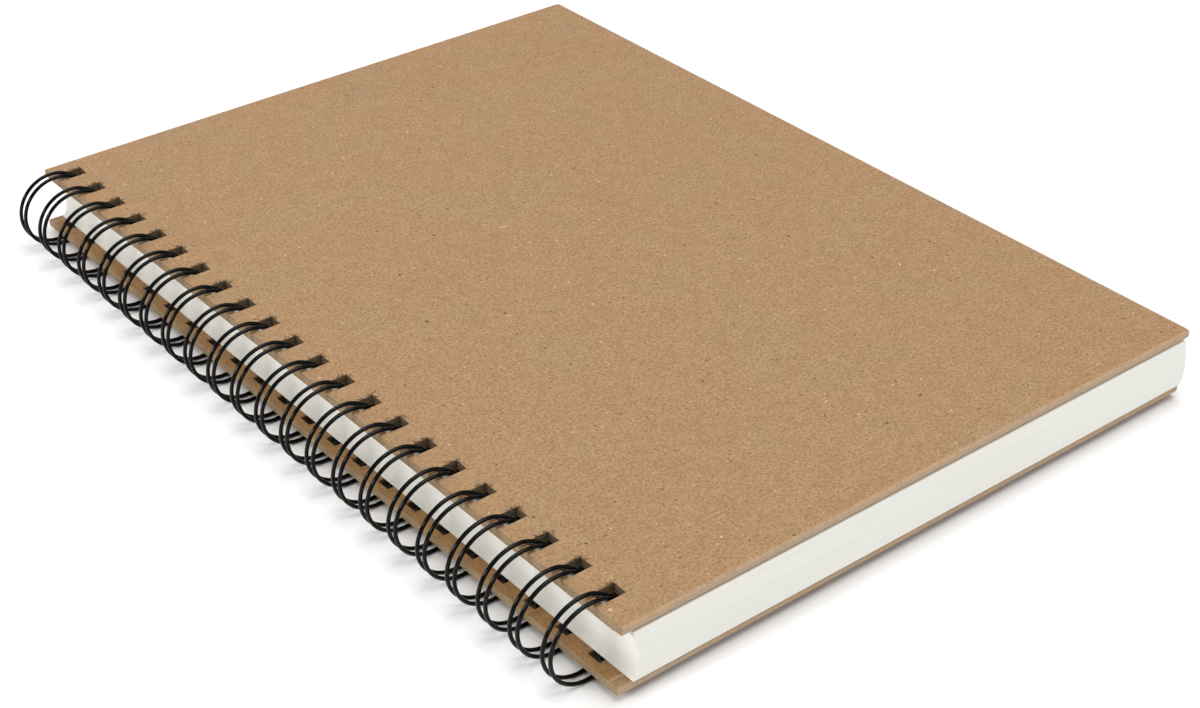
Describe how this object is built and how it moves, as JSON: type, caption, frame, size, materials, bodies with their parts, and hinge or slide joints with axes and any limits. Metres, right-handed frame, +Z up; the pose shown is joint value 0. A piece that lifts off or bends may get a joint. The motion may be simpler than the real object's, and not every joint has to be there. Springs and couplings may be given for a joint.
{
  "type": "wire-bound sketchbook",
  "caption": "Thick sketchbook of ivory drawing paper between stiff kraft-wrapped board covers, held along the spine by a black twin-loop wire; covers and leaves turn on the loops.",
  "frame": {"origin": "middle of the footprint, on the surface the closed book lies on", "axes": "+X from the spine to the fore edge, +Y along the spine from tail to head, +Z up through the front cover"},
  "size_m": [0.2242, 0.2878, 0.0245],
  "materials": {
    "black_wire": "glossy nylon-coated steel",
    "grey_board": "raw pressed board, cut edge",
    "kraft_wrap": "uncoated kraft paper",
    "kraft_lining": "uncoated kraft paper",
    "drawing_paper": "uncoated ivory drawing paper"
  },
  "bodies": {
    "back_and_wire": {"binding_wire": "black_wire", "back_cover_board": "grey_board", "back_cover_wrap": "kraft_wrap", "back_cover_lining": "kraft_lining"},
    "front_cover": {"front_cover_board": "grey_board", "front_cover_wrap": "kraft_wrap", "front_cover_lining": "kraft_lining"},
    "leaf_group_01": {"leaves_01": "drawing_paper"},
    "leaf_group_02": {"leaves_02": "drawing_paper"},
    "leaf_group_03": {"leaves_03": "drawing_paper"},
    "leaf_group_04": {"leaves_04": "drawing_paper"},
    "leaf_group_05": {"leaves_05": "drawing_paper"},
    "leaf_group_06": {"leaves_06": "drawing_paper"},
    "leaf_group_07": {"leaves_07": "drawing_paper"},
    "leaf_group_08": {"leaves_08": "drawing_paper"},
    "leaf_group_09": {"leaves_09": "drawing_paper"},
    "leaf_group_10": {"leaves_10": "drawing_paper"},
    "leaf_group_11": {"leaves_11": "drawing_paper"},
    "leaf_group_12": {"leaves_12": "drawing_paper"},
    "leaf_group_13": {"leaves_13": "drawing_paper"},
    "leaf_group_14": {"leaves_14": "drawing_paper"},
    "leaf_group_15": {"leaves_15": "drawing_paper"},
    "leaf_group_16": {"leaves_16": "drawing_paper"},
    "leaf_group_17": {"leaves_17": "drawing_paper"},
    "leaf_group_18": {"leaves_18": "drawing_paper"},
    "leaf_group_19": {"leaves_19": "drawing_paper"},
    "leaf_group_20": {"leaves_20": "drawing_paper"}
  },
  "joints": [
    {"name": "front_cover_turn", "type": "hinge", "parent": "back_and_wire", "child": "front_cover", "pos_m": [-0.0998, 0, 0.01228], "axis": [0, -1, 0], "range_deg": [0, 180]},
    {"name": "leaves_01_turn", "type": "hinge", "parent": "back_and_wire", "child": "leaf_group_01", "pos_m": [-0.0998, 0, 0.01228], "axis": [0, -1, 0], "range_deg": [0, 180]},
    {"name": "leaves_02_turn", "type": "hinge", "parent": "back_and_wire", "child": "leaf_group_02", "pos_m": [-0.0998, 0, 0.01228], "axis": [0, -1, 0], "range_deg": [0, 180]},
    {"name": "leaves_03_turn", "type": "hinge", "parent": "back_and_wire", "child": "leaf_group_03", "pos_m": [-0.0998, 0, 0.01228], "axis": [0, -1, 0], "range_deg": [0, 180]},
    {"name": "leaves_04_turn", "type": "hinge", "parent": "back_and_wire", "child": "leaf_group_04", "pos_m": [-0.0998, 0, 0.01228], "axis": [0, -1, 0], "range_deg": [0, 180]},
    {"name": "leaves_05_turn", "type": "hinge", "parent": "back_and_wire", "child": "leaf_group_05", "pos_m": [-0.0998, 0, 0.01228], "axis": [0, -1, 0], "range_deg": [0, 180]},
    {"name": "leaves_06_turn", "type": "hinge", "parent": "back_and_wire", "child": "leaf_group_06", "pos_m": [-0.0998, 0, 0.01228], "axis": [0, -1, 0], "range_deg": [0, 180]},
    {"name": "leaves_07_turn", "type": "hinge", "parent": "back_and_wire", "child": "leaf_group_07", "pos_m": [-0.0998, 0, 0.01228], "axis": [0, -1, 0], "range_deg": [0, 180]},
    {"name": "leaves_08_turn", "type": "hinge", "parent": "back_and_wire", "child": "leaf_group_08", "pos_m": [-0.0998, 0, 0.01228], "axis": [0, -1, 0], "range_deg": [0, 180]},
    {"name": "leaves_09_turn", "type": "hinge", "parent": "back_and_wire", "child": "leaf_group_09", "pos_m": [-0.0998, 0, 0.01228], "axis": [0, -1, 0], "range_deg": [0, 180]},
    {"name": "leaves_10_turn", "type": "hinge", "parent": "back_and_wire", "child": "leaf_group_10", "pos_m": [-0.0998, 0, 0.01228], "axis": [0, -1, 0], "range_deg": [0, 180]},
    {"name": "leaves_11_turn", "type": "hinge", "parent": "back_and_wire", "child": "leaf_group_11", "pos_m": [-0.0998, 0, 0.01228], "axis": [0, -1, 0], "range_deg": [0, 180]},
    {"name": "leaves_12_turn", "type": "hinge", "parent": "back_and_wire", "child": "leaf_group_12", "pos_m": [-0.0998, 0, 0.01228], "axis": [0, -1, 0], "range_deg": [0, 180]},
    {"name": "leaves_13_turn", "type": "hinge", "parent": "back_and_wire", "child": "leaf_group_13", "pos_m": [-0.0998, 0, 0.01228], "axis": [0, -1, 0], "range_deg": [0, 180]},
    {"name": "leaves_14_turn", "type": "hinge", "parent": "back_and_wire", "child": "leaf_group_14", "pos_m": [-0.0998, 0, 0.01228], "axis": [0, -1, 0], "range_deg": [0, 180]},
    {"name": "leaves_15_turn", "type": "hinge", "parent": "back_and_wire", "child": "leaf_group_15", "pos_m": [-0.0998, 0, 0.01228], "axis": [0, -1, 0], "range_deg": [0, 180]},
    {"name": "leaves_16_turn", "type": "hinge", "parent": "back_and_wire", "child": "leaf_group_16", "pos_m": [-0.0998, 0, 0.01228], "axis": [0, -1, 0], "range_deg": [0, 180]},
    {"name": "leaves_17_turn", "type": "hinge", "parent": "back_and_wire", "child": "leaf_group_17", "pos_m": [-0.0998, 0, 0.01228], "axis": [0, -1, 0], "range_deg": [0, 180]},
    {"name": "leaves_18_turn", "type": "hinge", "parent": "back_and_wire", "child": "leaf_group_18", "pos_m": [-0.0998, 0, 0.01228], "axis": [0, -1, 0], "range_deg": [0, 180]},
    {"name": "leaves_19_turn", "type": "hinge", "parent": "back_and_wire", "child": "leaf_group_19", "pos_m": [-0.0998, 0, 0.01228], "axis": [0, -1, 0], "range_deg": [0, 180]},
    {"name": "leaves_20_turn", "type": "hinge", "parent": "back_and_wire", "child": "leaf_group_20", "pos_m": [-0.0998, 0, 0.01228], "axis": [0, -1, 0], "range_deg": [0, 180]}
  ],
  "couplings": [
    {"joint": "leaves_01_turn", "follows": "front_cover_turn", "ratio": 0.0195},
    {"joint": "leaves_02_turn", "follows": "front_cover_turn", "ratio": 0.0414},
    {"joint": "leaves_03_turn", "follows": "front_cover_turn", "ratio": 0.0682},
    {"joint": "leaves_04_turn", "follows": "front_cover_turn", "ratio": 0.1016},
    {"joint": "leaves_05_turn", "follows": "front_cover_turn", "ratio": 0.1429},
    {"joint": "leaves_06_turn", "follows": "front_cover_turn", "ratio": 0.1926},
    {"joint": "leaves_07_turn", "follows": "front_cover_turn", "ratio": 0.2506},
    {"joint": "leaves_08_turn", "follows": "front_cover_turn", "ratio": 0.316},
    {"joint": "leaves_09_turn", "follows": "front_cover_turn", "ratio": 0.3871},
    {"joint": "leaves_10_turn", "follows": "front_cover_turn", "ratio": 0.462},
    {"joint": "leaves_11_turn", "follows": "front_cover_turn", "ratio": 0.538},
    {"joint": "leaves_12_turn", "follows": "front_cover_turn", "ratio": 0.6129},
    {"joint": "leaves_13_turn", "follows": "front_cover_turn", "ratio": 0.684},
    {"joint": "leaves_14_turn", "follows": "front_cover_turn", "ratio": 0.7494},
    {"joint": "leaves_15_turn", "follows": "front_cover_turn", "ratio": 0.8074},
    {"joint": "leaves_16_turn", "follows": "front_cover_turn", "ratio": 0.8571},
    {"joint": "leaves_17_turn", "follows": "front_cover_turn", "ratio": 0.8984},
    {"joint": "leaves_18_turn", "follows": "front_cover_turn", "ratio": 0.9318},
    {"joint": "leaves_19_turn", "follows": "front_cover_turn", "ratio": 0.9586},
    {"joint": "leaves_20_turn", "follows": "front_cover_turn", "ratio": 0.9805}
  ]
}
